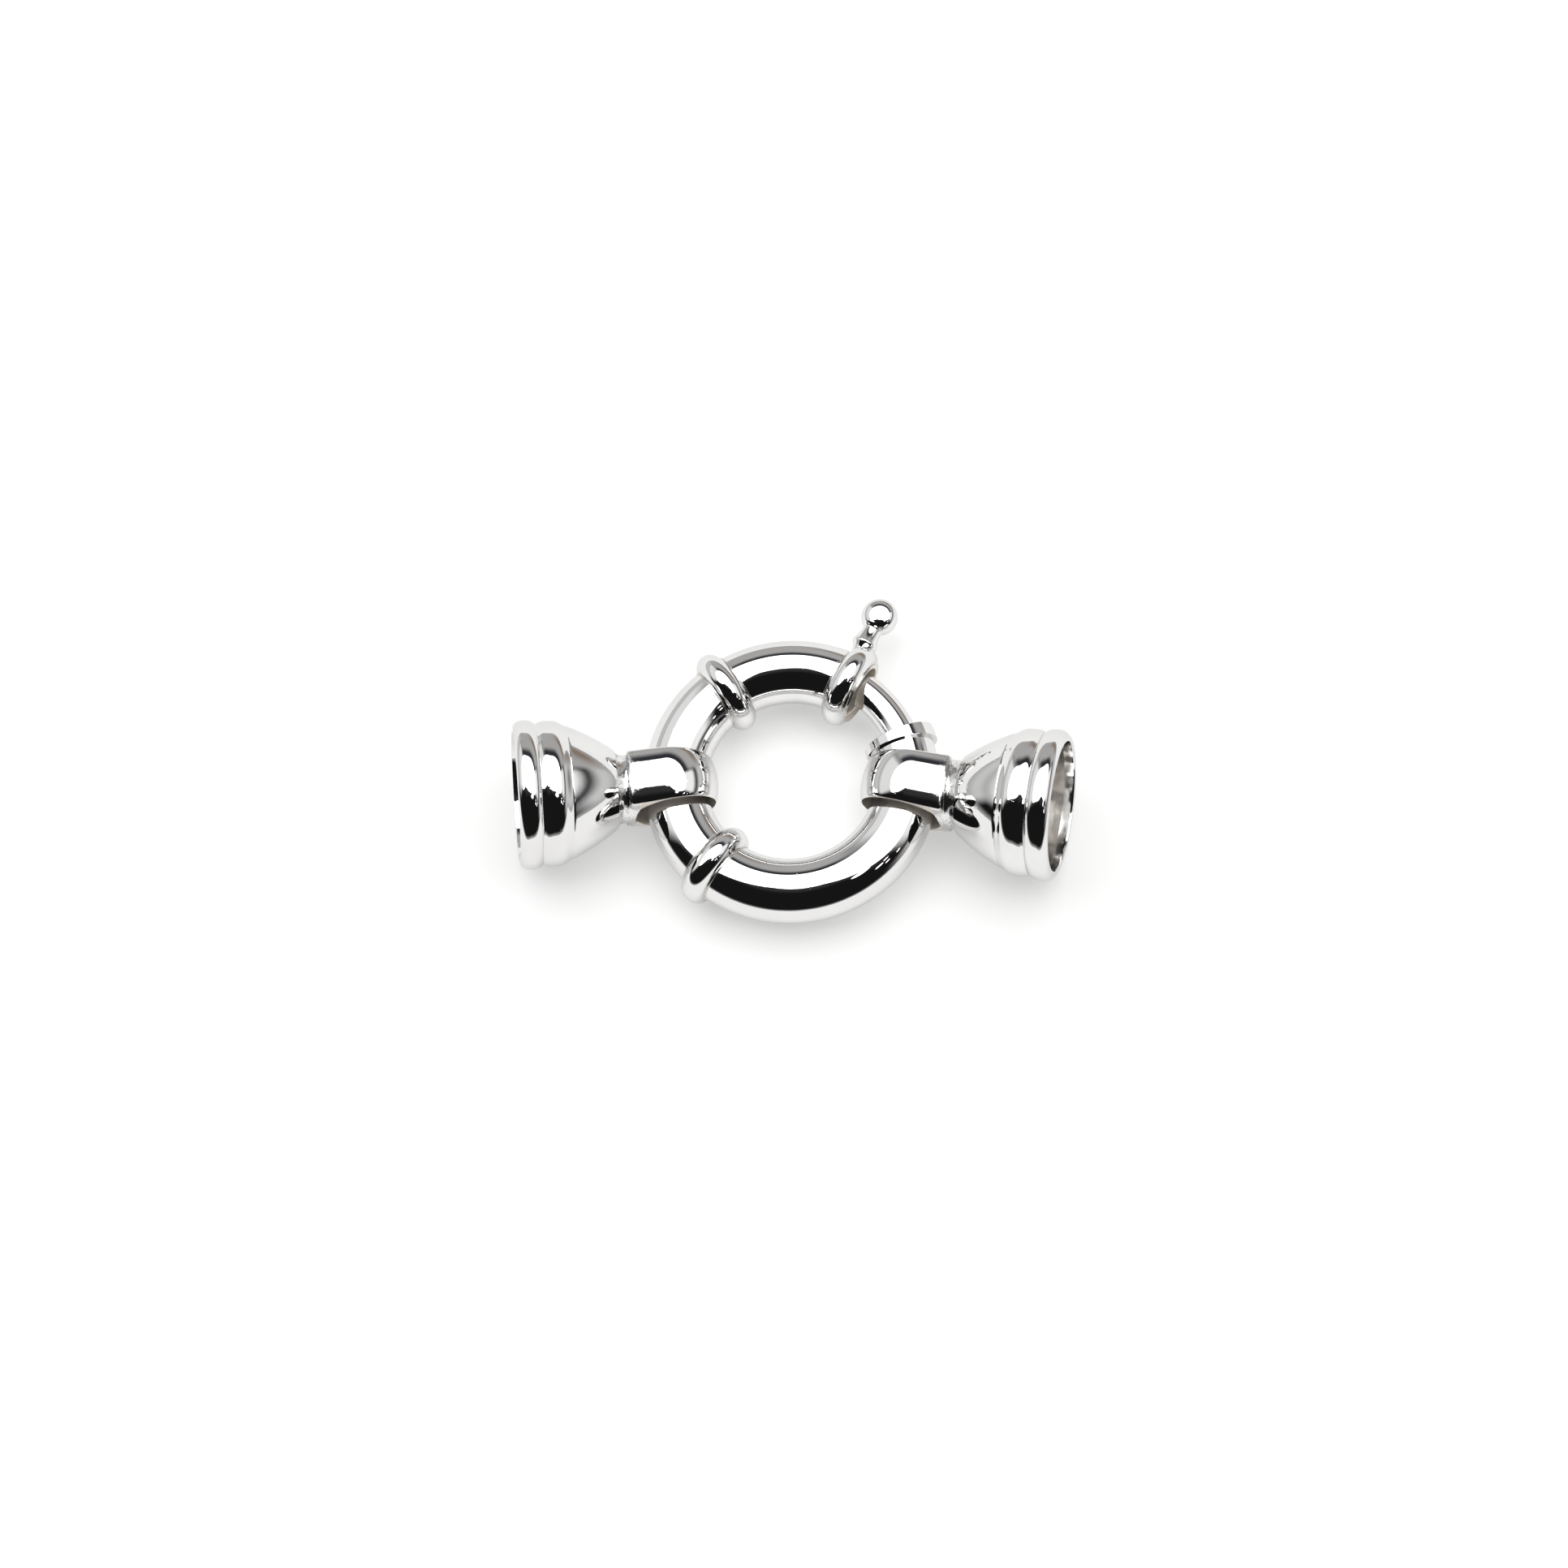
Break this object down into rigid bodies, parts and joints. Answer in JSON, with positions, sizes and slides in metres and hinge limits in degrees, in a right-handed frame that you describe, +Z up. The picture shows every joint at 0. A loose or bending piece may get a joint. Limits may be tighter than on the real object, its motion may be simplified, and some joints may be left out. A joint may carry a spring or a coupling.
{
  "type": "spring ring clasp",
  "caption": "Polished spring ring clasp with a sprung curved bolt and ball trigger, linked by bails to bell end caps.",
  "frame": {"origin": "centre of the ring, in the middle plane of its tube", "axes": "+Z up along the ring's axis, +X towards the right cap, +Y towards the trigger"},
  "size_m": [0.0345, 0.0209, 0.0092],
  "materials": {
    "polished_silver": "polished sterling silver, lightly handled"
  },
  "bodies": {
    "ring": {"ring_tube": "polished_silver", "collar_upper_left": "polished_silver", "collar_lower_left": "polished_silver", "mouth_collar": "polished_silver", "receiver_sleeve": "polished_silver"},
    "bolt": {"bolt": "polished_silver", "trigger": "polished_silver"},
    "cap_left": {"end_cap_left": "polished_silver"},
    "cap_right": {"end_cap_right": "polished_silver"}
  },
  "joints": [
    {"name": "bolt_turn", "type": "hinge", "parent": "ring", "child": "bolt", "pos_m": [0, 0, 0], "axis": [0, 0, 1], "range_deg": [0, 42], "stiffness_Nm_per_rad": 0.016, "springref_deg": -42.97},
    {"name": "left_bail_swing", "type": "hinge", "parent": "ring", "child": "cap_left", "pos_m": [-0.00703, -0.00049, 0.0001], "axis": [-0.0698, 0.9976, 0], "range_deg": [-95, 85]},
    {"name": "right_bail_swing", "type": "hinge", "parent": "ring", "child": "cap_right", "pos_m": [0.00702, -0.00068, 0.0001], "axis": [-0.0958, -0.9954, 0], "range_deg": [-95, 85]}
  ]
}
